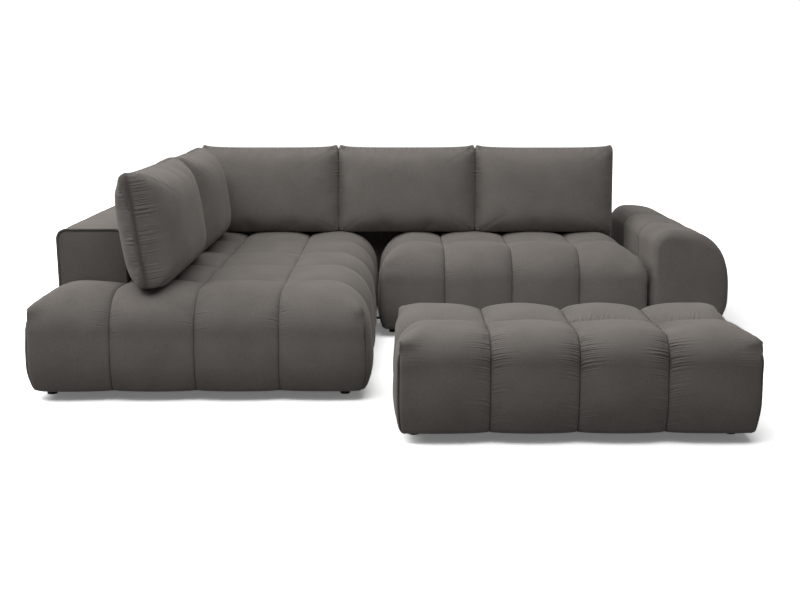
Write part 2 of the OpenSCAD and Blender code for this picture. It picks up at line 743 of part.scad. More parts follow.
module seat_cover() color(FABRIC) quilted_cover(seat, [[0, rear_y, seat_y[seat_rows - 1]]]);
module seat_foam() color(FOAM) seat_foam_slab(seat);
module seat_webbing() color(STRAP) straps(seat);
module seat_front_rail() color(WOOD) end_rail(seat, true);
module seat_back_rail() color(WOOD) end_rail(seat, false);
module seat_side_rails() color(WOOD) side_rails(seat);
module seat_cross_rails() color(WOOD) cross_rails(seat);
module seat_foot_blocks() color(WOOD) foot_blocks(seat);
module seat_bottom_cloth() color(CLOTH) bottom_cloth(seat);
module seat_feet() color(PLASTIC) feet(seat);

module stool_cover() color(FABRIC) quilted_cover(stool);
module stool_foam() color(FOAM) seat_foam_slab(stool);
module stool_webbing() color(STRAP) straps(stool);
module stool_front_rail() color(WOOD) end_rail(stool, true);
module stool_back_rail() color(WOOD) end_rail(stool, false);
module stool_side_rails() color(WOOD) side_rails(stool);
module stool_cross_rails() color(WOOD) cross_rails(stool);
module stool_foot_blocks() color(WOOD) foot_blocks(stool);
module stool_bottom_cloth() color(CLOTH) bottom_cloth(stool);
module stool_feet() color(PLASTIC) feet(stool);

module left_back_cover() color(FABRIC) left_back_place() back_cover(left_back_len);
module left_back_foam() color(FOAM) left_back_place() back_foam(left_back_len);
module left_back_frame() color(WOOD) left_back_place() back_frame(left_back_len);
module left_back_piping() color(PIPING)
    translate([left_back_x, left_back_y - piping_d / 2 - clear, deck_z]) piping_path();
module chaise_back_cover() color(FABRIC) rear_back_place(chaise_back_x) back_cover(chaise_back_len);
module chaise_back_foam() color(FOAM) rear_back_place(chaise_back_x) back_foam(chaise_back_len);
module chaise_back_frame() color(WOOD) rear_back_place(chaise_back_x) back_frame(chaise_back_len);
module seat_back_cover() color(FABRIC) rear_back_place(seat_back_x) back_cover(seat_back_len);
module seat_back_foam() color(FOAM) rear_back_place(seat_back_x) back_foam(seat_back_len);
module seat_back_frame() color(WOOD) rear_back_place(seat_back_x) back_frame(seat_back_len);

module arm_cover() color(FABRIC) difference() {
    arm_form();
    arm_inside(0, foot_h - cut, arm_frame_h + arm_foam_t);
}
module arm_foam() color(FOAM) arm_inside(clear, arm_frame_h + clear, arm_frame_h + arm_foam_t - clear);
module arm_frame() color(WOOD) arm_carcass();
module arm_bottom_cloth() color(CLOTH) difference() {
    arm_inside(clear, foot_h, frame_z);
    for (y = arm_feet_y) slit(arm_feet_x, y, stud_d);
    screw_slits();
}
module arm_feet() color(PLASTIC) {
    for (y = arm_feet_y) translate([arm_feet_x, y, 0]) cylinder(d = foot_d, h = foot_h, $fn = 32);
    arm_studs();
}

module front_side_cushion_cover() color(FABRIC)
    side_cushion_place(front_cushion_y) cushion_cover(front_side);
module front_side_cushion_filling() color(FIBRE)
    side_cushion_place(front_cushion_y) cushion_block(front_side, clear);
module corner_side_cushion_cover() color(FABRIC)
    side_cushion_place(corner_cushion_y) cushion_cover(corner_side);
module corner_side_cushion_filling() color(FIBRE)
    side_cushion_place(corner_cushion_y) cushion_block(corner_side, clear);
module left_rear_cushion_cover() color(FABRIC)
    rear_cushion_place(0) cushion_cover(left_rear);
module left_rear_cushion_filling() color(FIBRE)
    rear_cushion_place(0) cushion_block(left_rear, clear);
module middle_rear_cushion_cover() color(FABRIC)
    rear_cushion_place(1) cushion_cover(middle_rear);
module middle_rear_cushion_filling() color(FIBRE)
    rear_cushion_place(1) cushion_block(middle_rear, clear);
module right_rear_cushion_cover() color(FABRIC)
    rear_cushion_place(2) cushion_cover(right_rear);
module right_rear_cushion_filling() color(FIBRE)
    rear_cushion_place(2) cushion_block(right_rear, clear);

module joining_plates() color(STEEL) plates();
module plate_screws() color(STEEL) screws_at(screw_d, foot_h - plate_t, plate_t + screw_l);

module placed() translate(-centre) children();

placed() chaise_cover();
placed() chaise_foam();
placed() chaise_webbing();
placed() chaise_front_rail();
placed() chaise_back_rail();
placed() chaise_side_rails();
placed() chaise_cross_rails();
placed() chaise_foot_blocks();
placed() chaise_bottom_cloth();
placed() chaise_feet();
placed() seat_cover();
placed() seat_foam();
placed() seat_webbing();
placed() seat_front_rail();
placed() seat_back_rail();
placed() seat_side_rails();
placed() seat_cross_rails();
placed() seat_foot_blocks();
placed() seat_bottom_cloth();
placed() seat_feet();
placed() stool_cover();
placed() stool_foam();
placed() stool_webbing();
placed() stool_front_rail();
placed() stool_back_rail();
placed() stool_side_rails();
placed() stool_cross_rails();
placed() stool_foot_blocks();
placed() stool_bottom_cloth();
placed() stool_feet();
placed() left_back_cover();
placed() left_back_foam();
placed() left_back_frame();
placed() left_back_piping();
placed() chaise_back_cover();
placed() chaise_back_foam();
placed() chaise_back_frame();
placed() seat_back_cover();
placed() seat_back_foam();
placed() seat_back_frame();
placed() arm_cover();
placed() arm_foam();
placed() arm_frame();
placed() arm_bottom_cloth();
placed() arm_feet();
placed() front_side_cushion_cover();
placed() front_side_cushion_filling();
placed() corner_side_cushion_cover();
placed() corner_side_cushion_filling();
placed() left_rear_cushion_cover();
placed() left_rear_cushion_filling();
placed() middle_rear_cushion_cover();
placed() middle_rear_cushion_filling();
placed() right_rear_cushion_cover();
placed() right_rear_cushion_filling();
placed() joining_plates();
placed() plate_screws();
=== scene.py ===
import json
import math
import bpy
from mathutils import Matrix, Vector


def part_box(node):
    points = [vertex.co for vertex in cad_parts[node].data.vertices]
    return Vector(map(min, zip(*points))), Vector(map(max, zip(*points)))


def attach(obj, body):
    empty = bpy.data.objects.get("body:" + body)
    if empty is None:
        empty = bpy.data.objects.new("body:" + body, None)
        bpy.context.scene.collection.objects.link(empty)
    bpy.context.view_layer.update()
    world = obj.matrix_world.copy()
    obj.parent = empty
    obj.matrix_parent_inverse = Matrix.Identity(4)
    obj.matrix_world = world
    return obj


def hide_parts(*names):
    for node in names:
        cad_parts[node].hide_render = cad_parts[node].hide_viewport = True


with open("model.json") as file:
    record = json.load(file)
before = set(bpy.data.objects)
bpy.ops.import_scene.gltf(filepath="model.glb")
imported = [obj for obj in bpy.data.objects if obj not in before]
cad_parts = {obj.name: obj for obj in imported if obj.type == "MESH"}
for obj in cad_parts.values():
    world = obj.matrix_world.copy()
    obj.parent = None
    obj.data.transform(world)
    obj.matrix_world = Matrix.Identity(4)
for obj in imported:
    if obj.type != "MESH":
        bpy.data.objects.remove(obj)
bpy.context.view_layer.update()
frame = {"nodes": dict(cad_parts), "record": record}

from types import SimpleNamespace

import bmesh
import bpy
import numpy as np

# Sizes in millimetres, as in the part's source, from the chaise's front left corner on the floor
SEAT_H, STOOL_H, SEAM_SINK = 444, 402, 34
SEAT_EDGE, STOOL_EDGE, CORNER_POWER = (185, 180), (115, 120), 5.0
BELLY, SIDE_WALL, SIDE_FADE = 8, 66, 0.3
FOOT_H = 38
REAR_Y, DECK_Z = 2124, 380
CHAISE_X = [0, 346, 673, 1000, 1362]
CHAISE_Y = [0, 354, 708, 1062, 1416, 1770, 2124]
SEAT_X = [1368, 1692, 2019, 2346, 2684]
MEETING = 1365
SEAT_Y = [1046, 1400, 1754, 2124]
STOOL_X = [1442, 1777, 2081, 2385, 2720]
STOOL_Y = [-496, -195, 106]
BACK_H, BACK_T, BACK_INSET, BACK_EDGE = 254, 280, 66, 40
BACK_FRONT, BACK_FOOT = REAR_Y - BACK_INSET - BACK_T, 60
LEFT_BACK_FRONT, LEFT_BACK_INNER = 356, BACK_INSET + BACK_T
SEAT_BACK_PAST = 12
ARM_X, ARM_W, ARM_H, ARM_WIDE_H, ARM_RIDGE, ARM_SHOULDER = 2690, 380, 530, 190, 80, 0.74
ARM_END, ARM_TUCK, ARM_SINK, ARM_FOOT_INSET, ARM_CROWN = 48, 62, 16, 22, 7
CUSHION_H, CUSHION_DRAW, CUSHION_SETTLE = 475, 12, 18
CUSHION_LEAN = math.radians(7.5)
POWER_ACROSS, POWER_ABOVE, POWER_BELOW = 3.2, 2.6, 4.0
CENTRE = np.array([1535.0, 814.0, 0.0])

# Attributes hold a distance and a place along in metres, and a number; FAR is away from every seam
METRES_AND_NUMBER = [1000, 1000, 1]
FAR = 0.9


def metres(points):
    return (np.asarray(points, float) - CENTRE) / 1000


# Objects

def deselect():
    if bpy.context.object and bpy.context.object.mode != "OBJECT":
        bpy.ops.object.mode_set(mode="OBJECT")
    bpy.ops.object.select_all(action="DESELECT")


def make_active(obj):
    deselect()
    obj.select_set(True)
    bpy.context.view_layer.objects.active = obj


def shade_smooth(obj):
    obj.data.polygons.foreach_set("use_smooth", np.ones(len(obj.data.polygons), bool))


def new_piece(name, points, faces):
    mesh = bpy.data.meshes.new(name)
    mesh.from_pydata(np.asarray(points).tolist(), [], [list(map(int, f)) for f in faces])
    mesh.update()
    obj = bpy.data.objects.new(name, mesh)
    bpy.context.scene.collection.objects.link(obj)
    shade_smooth(obj)
    return obj


def places(obj):
    found = np.empty(len(obj.data.vertices) * 3)
    obj.data.vertices.foreach_get("co", found)
    return found.reshape(-1, 3)


def normals(obj):
    found = np.empty(len(obj.data.vertices) * 3)
    obj.data.vertex_normals.foreach_get("vector", found)
    return found.reshape(-1, 3)


def move_points(obj, points):
    obj.data.vertices.foreach_set("co", np.asarray(points, np.float32).ravel())
    obj.data.update()


def write_attribute(obj, name, vectors):
    layer = obj.data.attributes.new(name, "FLOAT_VECTOR", "POINT")
    layer.data.foreach_set("vector", np.asarray(vectors, np.float32).ravel())


def move_along_normals(obj, start, distance):
    """Places the points at their start, moved out by a distance in millimetres."""
    move_points(obj, start + normals(obj) * distance[:, None] / 1000)


def subdivide(obj):
    modifier = obj.modifiers.new("finish", "SUBSURF")
    modifier.levels = modifier.render_levels = 1
    make_active(obj)
    bpy.ops.object.modifier_apply(modifier=modifier.name)
    obj.select_set(False)


# Smooth irregular waves of about -1 to 1, for gathers and for cloth that isn't quite even

def ripple(s, pitch, phase):
    turn = 2 * np.pi * s / pitch
    return (np.sin(turn + 2.3 * np.sin(0.27 * turn + phase) + phase)
            * (0.7 + 0.3 * np.sin(0.41 * turn + 2.1 * phase)))


def beside_seam(distance, reach):
    """The strength of the gathers beside a seam: none on it, most just beside it, fading out."""
    return np.exp(-(distance / reach) ** 1.6) * (1 - np.exp(-distance / 5))


def cloudy(points, size, phase):
    x, y, z = (points / size).T * 2 * np.pi
    return (np.sin(x + 1.7 * np.sin(0.6 * y + phase)) + np.sin(0.8 * y + 1.9 * np.sin(0.7 * z + phase))
            + np.sin(0.9 * z + 1.3 * np.sin(0.8 * x - phase))) / 3


def unevenness(points, *layers):
    """Waves in millimetres; each layer is a strength, a size and a phase."""
    return sum(strength * cloudy(points, size, phase) for strength, size, phase in layers)


# Tufted form

# Where a corner's seam ends: its height, how far the corner is drawn out there, how far it stays inside the
# sides, the share of that lower down, its width, and the depth of the hollow just below it
CHAISE_NUB = SimpleNamespace(height=366, out=40, inside=24, below=0.25, wide=55, hollow=5)
SEAT_NUB = SimpleNamespace(height=366, out=46, inside=2, below=0.45, wide=55, hollow=7)
STOOL_NUB = SimpleNamespace(height=368, out=44, inside=15, below=1.0, wide=60, hollow=0)
# How the drawing-out fades above and below that end, and how much narrower it is there
NUB_RISE, NUB_FALL, PINCH, PINCH_FALL = 0.55, 70, 0.6, 40
# The crease in a corner's middle, and how far beside it the sides swell less
CREASE, CREASE_WIDE, BELLY_FADE = 0.4, 0.25, 70
# The hollow below the end, and the corner's sewn line
HOLLOW_DROP, HOLLOW_TALL, HOLLOW_WIDE = 26, 17, 22
STITCH_ABOVE, STITCH_DEPTH, STITCH_REACH, STITCH_LIMIT = 10, 3.0, 8, 90
# The roll at the bottom of the sides, as a length and as shares of their height
BOTTOM_ROLL, ROLL_FROM, ROLL_SHARE = 14, 0.93, 0.07
# The bend from the sides to the top, where the gathers are strongest, and their reach and pitch
BEND_DROP, BEND_REACH, CORNER_CALM = 30, 62, 70
COLUMN_REACH, COLUMN_PITCH, ROW_REACH, ROW_PITCH, ROW_SHARE = 34, 31, 30, 34, 0.6
EDGE_STEPS = 12


def swell(t):
    return np.sqrt(np.maximum(0, 1 - (1 - np.minimum(1, t)) ** 2))


def cell_width(p, lines, seam):
    return np.where(p < lines[seam], lines[seam] - lines[seam - 1], lines[seam + 1] - lines[seam])


def fullness(p, lines):
    full = np.ones_like(p)
    for seam in range(1, len(lines) - 1):
        full = np.minimum(full, swell(2 * np.abs(p - lines[seam]) / cell_width(p, lines, seam)))
    return full


def seam_distance(p, lines):
    inner = np.array(lines[1:-1], float)
    gaps = p[..., None] - inner
    nearest = np.abs(gaps).argmin(-1)
    gap = np.take_along_axis(gaps, nearest[..., None], -1)[..., 0]
    return np.abs(gap), nearest * 2.0 + (gap > 0)


def stations(lines, low, high, reach, step):
    """Places across a form: close together on its rounded edges and beside its seams."""
    angles = np.linspace(0, np.pi / 2, EDGE_STEPS + 1)
    first = low + reach * (1 - np.cos(angles))
    last = (high - reach * (1 - np.cos(angles)))[::-1]
    knots = [first[-1], *lines[1:-1], last[0]]
    found = [first[:-1]]
    for index, (a, b) in enumerate(zip(knots, knots[1:])):
        count = max(2, round((b - a) / step))
        t = np.arange(count) / count
        at_start, at_end = index > 0, index < len(knots) - 2
        if at_start and at_end:
            close = (1 - np.cos(np.pi * t)) / 2
        elif at_end:
            close = np.sin(np.pi / 2 * t)
        else:
            close = 1 - np.cos(np.pi / 2 * t)
        found.append(a + (b - a) * (0.5 * t + 0.5 * close))
    return np.concatenate(found + [last])


def plan(x, y, box, reach):
    """Places on a soft-cornered rectangle, their outward direction, their distance from its outline
    and, near its corners, from the diagonals through them."""
    far_off, half_root = 999.0, 0.7071
    side_x, side_y = np.sign(2 * x - box[0] - box[1]), np.sign(2 * y - box[2] - box[3])
    cx = np.maximum(0, 1 - np.minimum(x - box[0], box[1] - x) / reach)
    cy = np.maximum(0, 1 - np.minimum(y - box[2], box[3] - y) / reach)
    near = np.maximum(cx, cy)
    size = (cx ** CORNER_POWER + cy ** CORNER_POWER) ** (1 / CORNER_POWER)
    share = np.where(size > 0, near / np.where(size > 0, size, 1), 1)
    pulled = reach * (1 - share)
    out_x, out_y = side_x * cx ** (CORNER_POWER - 1), side_y * cy ** (CORNER_POWER - 1)
    length = np.maximum(np.hypot(out_x, out_y), 1e-12)
    turned = np.where((cx > 0) & (cy > 0), np.abs(cx - cy) * share * reach * half_root, far_off)
    return (x - side_x * cx * pulled, y - side_y * cy * pulled, out_x / length, out_y / length,
            reach * (1 - near), turned)


def tufted_piece(name, xs_lines, ys_lines, top, edge, nub, step, gather, deck=(), pucker=0.3, tuck=22):
    """A quilted cover on a grid of seams. The edge is how far its round reaches in and down, the deck is
    where it is level under cushions, the gather and the pucker are the strength of its gathers in the mesh
    and in the finish, and the tuck is how far its sides go in at the bottom."""
    reach, drop = edge
    box = [xs_lines[0] + BELLY, xs_lines[-1] - BELLY, ys_lines[0] + BELLY, ys_lines[-1] - BELLY]

    def corner_drawn(height, turned):
        rise, fall = np.maximum(0, height - nub.height), np.maximum(0, nub.height - height)
        over = np.exp(-(rise / (NUB_RISE * (top - nub.height))) ** 2)
        under = nub.below + (1 - nub.below) * np.exp(-(fall / NUB_FALL) ** 2)
        wide = nub.wide * (1 - PINCH * np.exp(-(fall / PINCH_FALL) ** 2))
        crease = CREASE * np.exp(-turned / (CREASE_WIDE * wide))
        return nub.out * over * under * (crease + (1 - CREASE) * np.exp(-(turned / wide) ** 2))

    def drawn_out(place, out, drawn, low, high):
        low, high = low + nub.inside, high - nub.inside
        return np.where((place > low) & (place < high), np.clip(place + out * drawn, low, high), place)

    xs = stations(xs_lines, box[0], box[1], reach, step)
    ys = stations(ys_lines, box[2], box[3], reach, step)
    nx, ny = len(xs), len(ys)

    # The top
    gx, gy = np.meshgrid(xs, ys)
    gx, gy = gx.ravel(), gy.ravel()
    px, py, ox, oy, inward, turned = plan(gx, gy, box, reach)
    c = np.maximum(0, 1 - inward / reach)
    sn = np.sqrt(np.maximum(0, 1 - c * c))
    slope = np.stack([c / reach, sn / drop])
    unit = slope / np.linalg.norm(slope, axis=0)
    sink = SEAM_SINK * (1 - fullness(gx, xs_lines) * fullness(gy, ys_lines))
    z = top - drop * (1 - sn) - unit[1] * sink
    for left_of, from_y, behind in deck:
        flat = ((gx < left_of) & (gy > from_y)) | (gy > behind)
        z = np.where(flat, np.minimum(z, DECK_Z), z)
    drawn = corner_drawn(z, turned)
    px, py = drawn_out(px, ox, drawn, *box[:2]), drawn_out(py, oy, drawn, *box[2:])
    rows = [np.stack([px - ox * unit[0] * sink, py - oy * unit[0] * sink, z], 1)]
    sources = [np.stack([gx, gy, turned], 1)]

    # The sides, from the rounded edge down and rolled in at the bottom
    ring = ([(i, 0) for i in range(nx)] + [(nx - 1, j) for j in range(1, ny)]
            + [(i, ny - 1) for i in range(nx - 2, -1, -1)] + [(0, j) for j in range(ny - 2, 0, -1)])
    rx, ry = xs[[r[0] for r in ring]], ys[[r[1] for r in ring]]
    px, py, ox, oy, _, turned = plan(rx, ry, box, reach)
    sink = SEAM_SINK * (1 - fullness(rx, xs_lines) * fullness(ry, ys_lines))
    belly = BELLY * (1 - nub.below * np.exp(-(turned / BELLY_FADE) ** 2))
    for f in np.linspace(0, 1, round((top - drop - FOOT_H) / step) + 1)[1:]:
        swelled = (belly * np.sin(np.pi * f) if f <= 0.5
                   else belly - (belly + tuck) * (2 * f - 1) ** 2)
        rolled = BOTTOM_ROLL * (1 - math.sqrt(1 - max(0, (f - ROLL_FROM) / ROLL_SHARE) ** 2))
        out = swelled - rolled - sink * (1 - SIDE_FADE * f)
        height = np.full_like(px, (top - drop) * (1 - f) + FOOT_H * f)
        drawn = corner_drawn(height, turned)
        x, y = drawn_out(px, ox, drawn, *box[:2]), drawn_out(py, oy, drawn, *box[2:])
        rows.append(np.stack([x + ox * out, y + oy * out, height], 1))
        sources.append(np.stack([rx, ry, turned], 1))

    # The underside: a flat margin, then a small step up to the bottom
    for inset, height in ((SIDE_WALL - 12, FOOT_H), (SIDE_WALL - 2, FOOT_H), (SIDE_WALL - 1, FOOT_H + 4)):
        rows.append(np.stack([px - ox * inset, py - oy * inset, np.full_like(px, height)], 1))
        sources.append(np.stack([rx, ry, turned], 1))
    points, source = np.concatenate(rows), np.concatenate(sources)

    grid, n, levels = nx * ny, len(ring), len(rows) - 1
    a = (np.arange(ny - 1)[:, None] * nx + np.arange(nx - 1)).ravel()
    faces = np.stack([a, a + 1, a + nx + 1, a + nx], 1).tolist()
    rim = np.array([j * nx + i for i, j in ring])
    for level in range(levels):
        upper = rim if level == 0 else grid + (level - 1) * n + np.arange(n)
        lower = grid + level * n + np.arange(n)
        faces += np.stack([upper, lower, np.roll(lower, -1), np.roll(upper, -1)], 1).tolist()
    faces.append((grid + (levels - 1) * n + np.arange(n))[::-1].tolist())
    obj = new_piece(name, metres(points), faces)

    # Seams: distance from them, place along them, and a number for each side of each
    middle = [(xs_lines[0] + xs_lines[-1]) / 2, (ys_lines[0] + ys_lines[-1]) / 2]
    col, col_phase = seam_distance(source[:, 0], xs_lines)
    row, row_phase = seam_distance(source[:, 1], ys_lines)
    corner = np.hypot(source[:, 2], 1.2 * np.maximum(0, points[:, 2] - nub.height))
    near_corner = corner < np.minimum(col, row)
    col_along = np.abs(points[:, 1] - middle[1]) - points[:, 2]
    row_along = np.abs(points[:, 0] - middle[0]) - points[:, 2]

    # Gathers, the corner's seam, the hollow below its end and a little unevenness, along the normals
    above_nub = points[:, 2] - nub.height
    bend = np.exp(-((above_nub + BEND_DROP) / BEND_REACH) ** 2)
    move = gather * bend * beside_seam(col, COLUMN_REACH) * ripple(col_along, COLUMN_PITCH, col_phase)
    move += ROW_SHARE * gather * bend * beside_seam(row, ROW_REACH) * ripple(row_along, ROW_PITCH, row_phase)
    stitched = (points[:, 2] < nub.height + STITCH_ABOVE) & (corner < STITCH_LIMIT)
    move -= np.where(stitched, STITCH_DEPTH, 0) * np.exp(-corner / STITCH_REACH)
    move -= (nub.hollow * np.exp(-((above_nub + HOLLOW_DROP) / HOLLOW_TALL) ** 2)
             * np.exp(-(source[:, 2] / HOLLOW_WIDE) ** 2))
    move += unevenness(points, (1.6, 310, len(name)), (0.7, 130, 2.0))
    resting = (points[:, 2] <= FOOT_H + 5) | (points[:, 2] == DECK_Z)
    move_along_normals(obj, places(obj), np.where(resting, 0, move))

    # Near a corner the distance is taken from the corner's seam, so the finish paints the crease shade along
    # that seam too
    col = np.where(near_corner, corner, col)
    write_attribute(obj, "across", np.stack([col, col_along, col_phase], 1) / METRES_AND_NUMBER)
    write_attribute(obj, "along", np.stack([row, row_along, row_phase], 1) / METRES_AND_NUMBER)
    strength = pucker * (0.15 + 0.85 * bend) * (1 - np.exp(-(corner / CORNER_CALM) ** 2))
    strength *= 0.75 + 0.35 * ripple(col_along, 170, col_phase)
    write_attribute(obj, "gather", np.stack([strength, 0.5 * strength, np.ones_like(strength)], 1))
    return obj


# Arm

ARM_STEP, END_RINGS = 9, 14


def arm_section():
    """The arm's outline seen from the front, from its inner foot over the top to its outer foot."""
    step = ARM_STEP

    def line(a, b):
        count = max(2, round(math.dist(a, b) / step))
        return [np.array(a) + (np.array(b) - a) * k / count for k in range(count)]

    inner = math.pi * ARM_RIDGE / 2
    turns = np.linspace(0, math.pi / 2, round(inner / step) + 1)[:-1]
    found = line([ARM_FOOT_INSET, FOOT_H], [0, ARM_WIDE_H])
    found += line([0, ARM_WIDE_H], [0, ARM_H - ARM_RIDGE])
    found += [np.array([ARM_RIDGE * (1 - math.cos(a)), ARM_H - ARM_RIDGE * (1 - math.sin(a))]) for a in turns]

    # The outer curve, in even steps along it
    turns = np.linspace(math.pi / 2, 0, 400)
    curve = [ARM_RIDGE + (ARM_W - ARM_RIDGE) * np.maximum(0, np.cos(turns)) ** ARM_SHOULDER,
             ARM_WIDE_H + (ARM_H - ARM_WIDE_H) * np.maximum(0, np.sin(turns)) ** ARM_SHOULDER]
    arc = np.concatenate([[0], np.cumsum(np.hypot(*np.diff(curve, axis=1)))])
    even = np.linspace(0, arc[-1], round(arc[-1] / step) + 1)[:-1]
    found += list(np.stack([np.interp(even, arc, side) for side in curve], 1))
    parts = np.linspace(0, 1, round((ARM_WIDE_H - FOOT_H) / step) + 1)
    found += [np.array([ARM_W - ARM_TUCK * p * p, ARM_WIDE_H + (FOOT_H - ARM_WIDE_H) * p]) for p in parts]
    return np.array(found)


def arm_piece(name):
    section = arm_section()
    heart = np.array([ARM_W / 2, ARM_WIDE_H])
    away = section - heart
    reach = np.linalg.norm(away, axis=1)
    ys = stations(SEAT_Y, SEAT_Y[0], SEAT_Y[-1], ARM_END, ARM_STEP)
    t = np.minimum(ys - SEAT_Y[0], SEAT_Y[-1] - ys)
    c = np.maximum(0, 1 - t / ARM_END)
    inset = ARM_END * (1 - np.sqrt(1 - c * c)) + ARM_SINK * (1 - fullness(ys, SEAT_Y))
    n, m = len(section), len(ys)
    rings = []
    for y, by in zip(ys, inset):
        q = heart + away * (1 - by / reach)[:, None]
        q[:, 1] = np.where(section[:, 1] <= FOOT_H, FOOT_H, np.maximum(q[:, 1], FOOT_H))
        rings.append(np.stack([ARM_X + q[:, 0], np.full(n, y), q[:, 1]], 1))

    # The ends: rings towards the heart, slightly crowned
    ends = []
    for ring, outward in ((rings[0], -1), (rings[-1], 1)):
        for k in range(1, END_RINGS):
            share = k / END_RINGS
            q = ring.copy()
            q[:, 0] += (ARM_X + heart[0] - q[:, 0]) * share
            q[:, 2] += (heart[1] - q[:, 2]) * share
            q[:, 1] += outward * ARM_CROWN * (1 - (1 - share) ** 2)
            ends.append(q)
        ends.append(np.array([[ARM_X + heart[0], ring[0, 1] + outward * ARM_CROWN, heart[1]]]))
    points = np.concatenate(rings + ends)
    around = np.arange(n)
    faces = []
    for j in range(m - 1):
        a = j * n + around
        b = j * n + np.roll(around, -1)
        faces += np.stack([a, b, b + n, a + n], 1).tolist()
    start = m * n
    for end, first in ((0, 0), (1, (m - 1) * n)):
        base = start + end * ((END_RINGS - 1) * n + 1)
        loops = [first + around] + [base + k * n + around for k in range(END_RINGS - 1)]
        tip = base + (END_RINGS - 1) * n
        for upper, lower in zip(loops, loops[1:]):
            quad = np.stack([upper, lower, np.roll(lower, -1), np.roll(upper, -1)], 1)
            faces += (quad if end == 0 else quad[:, ::-1]).tolist()
        last = loops[-1]
        fan = np.stack([last, np.full(n, tip), np.roll(last, -1)], 1)
        faces += (fan if end == 0 else fan[:, ::-1]).tolist()
    obj = new_piece(name, metres(points), faces)

    # Gathers beside the cross seams and in the inner front edge, and a little unevenness
    steps = np.linalg.norm(np.diff(section, axis=0), axis=1)
    arc = np.concatenate([[0], np.cumsum(steps)])
    row, phase = seam_distance(points[:, 1], SEAT_Y)
    along = np.concatenate([np.tile(arc, m)] + [np.concatenate([np.tile(arc, END_RINGS - 1), [0]])] * 2)
    seam_reach, seam_pitch, edge_inset, edge_reach, edge_pitch = 26, 21, 26, 22, 19
    move = 1.1 * beside_seam(row, seam_reach) * ripple(along, seam_pitch, phase)
    inner_side = (points[:, 0] < ARM_X + 70) & (points[:, 2] > 260)
    front_edge = np.exp(-((points[:, 1] - SEAT_Y[0] - edge_inset) / edge_reach) ** 2) * inner_side
    move += 1.3 * front_edge * ripple(along, edge_pitch, 1.0)
    move += unevenness(points, (1.5, 300, 4.0), (0.6, 120, 1.0))
    move_along_normals(obj, places(obj), np.where(points[:, 2] <= FOOT_H + 1, 0, move))
    write_attribute(obj, "across", np.stack([np.full(len(points), FAR), along / 1000, phase], 1))
    write_attribute(obj, "along", np.stack([row / 1000, along / 1000, phase], 1))
    write_attribute(obj, "gather", np.tile([0.0, 0.45, 1.0], (len(points), 1)))
    return obj


# Backs: an upholstered block, modelled from a cube

BACK_GRID, SMALL_ROUND, BACK_CROWN = (0.035, 0.03, 0.03), 0.010, (4.0, 4.0, 6.0)


def back_piece(name, low, high, long_axis):
    """A block with a large round on its long upper edges, a small one elsewhere, and crowned faces."""
    low, high = metres(low), metres(high)
    size = high - low
    deselect()
    bpy.ops.mesh.primitive_cube_add(size=1, location=(low + high) / 2, scale=size)
    obj = bpy.context.object
    obj.name = obj.data.name = name
    bpy.ops.object.transform_apply(location=True, rotation=False, scale=True)
    bpy.ops.object.mode_set(mode="EDIT")
    bpy.ops.mesh.select_mode(type="EDGE")
    bpy.ops.mesh.select_all(action="DESELECT")
    mesh = bmesh.from_edit_mesh(obj.data)
    across = 1 - long_axis
    for edge in mesh.edges:
        a, b = (v.co for v in edge.verts)
        upper = min(a.z, b.z) > high[2] - 0.001
        edge.select = bool(upper and abs(a[across] - b[across]) < 0.001)
    bmesh.update_edit_mesh(obj.data)
    bpy.ops.mesh.bevel(offset=BACK_EDGE / 1000, segments=6)
    bpy.ops.mesh.select_all(action="DESELECT")
    mesh = bmesh.from_edit_mesh(obj.data)
    for edge in mesh.edges:
        edge.select = len(edge.link_faces) == 2 and edge.calc_face_angle() > math.radians(50)
    bmesh.update_edit_mesh(obj.data)
    bpy.ops.mesh.bevel(offset=SMALL_ROUND, segments=2)
    for axis, step in zip((long_axis, across, 2), BACK_GRID):
        count = max(3, round(size[axis] / step))
        for k in range(1, count):
            place, direction = [0, 0, 0], [0, 0, 0]
            place[axis] = low[axis] + size[axis] * k / count
            direction[axis] = 1
            bpy.ops.mesh.select_all(action="SELECT")
            bpy.ops.mesh.bisect(plane_co=place, plane_no=direction)
    bpy.ops.mesh.select_all(action="SELECT")
    bpy.ops.mesh.remove_doubles(threshold=0.0008)
    bpy.ops.object.mode_set(mode="OBJECT")
    shade_smooth(obj)
    subdivide(obj)

    # Crowned faces: each point moves out with its distance from the nearest edges
    p = places(obj)
    share = (p - (low + high) / 2) / (size / 2)
    bulge = 1 - np.clip(share, -1, 1) ** 4
    out = np.stack([bulge[:, (k + 1) % 3] * bulge[:, (k + 2) % 3] for k in range(3)], 1)
    on_face = np.abs(share) > 0.97
    crown = out * (np.array(BACK_CROWN) / 1000) * np.sign(share) * on_face
    crown[:, 2] = np.where(share[:, 2] > 0, crown[:, 2], 0)
    mm = p * 1000
    uneven = unevenness(mm, (1.1, 260, len(name)), (0.5, 90, 3.0))
    edge_reach, edge_pitch = 18, 37
    top_edge = np.exp(-((high[2] * 1000 - mm[:, 2]) / edge_reach) ** 2) * (share[:, 2] < 0.999)
    uneven += 0.5 * top_edge * ripple(mm[:, long_axis], edge_pitch, 2.0)
    move_along_normals(obj, p + crown, np.where(p[:, 2] < low[2] + 0.004, 0, uneven))
    far = np.full(len(p), FAR)
    write_attribute(obj, "across", np.stack([far, mm[:, long_axis] / 1000, far], 1))
    write_attribute(obj, "along", np.stack([far, mm[:, 2] / 1000, far], 1))
    return obj


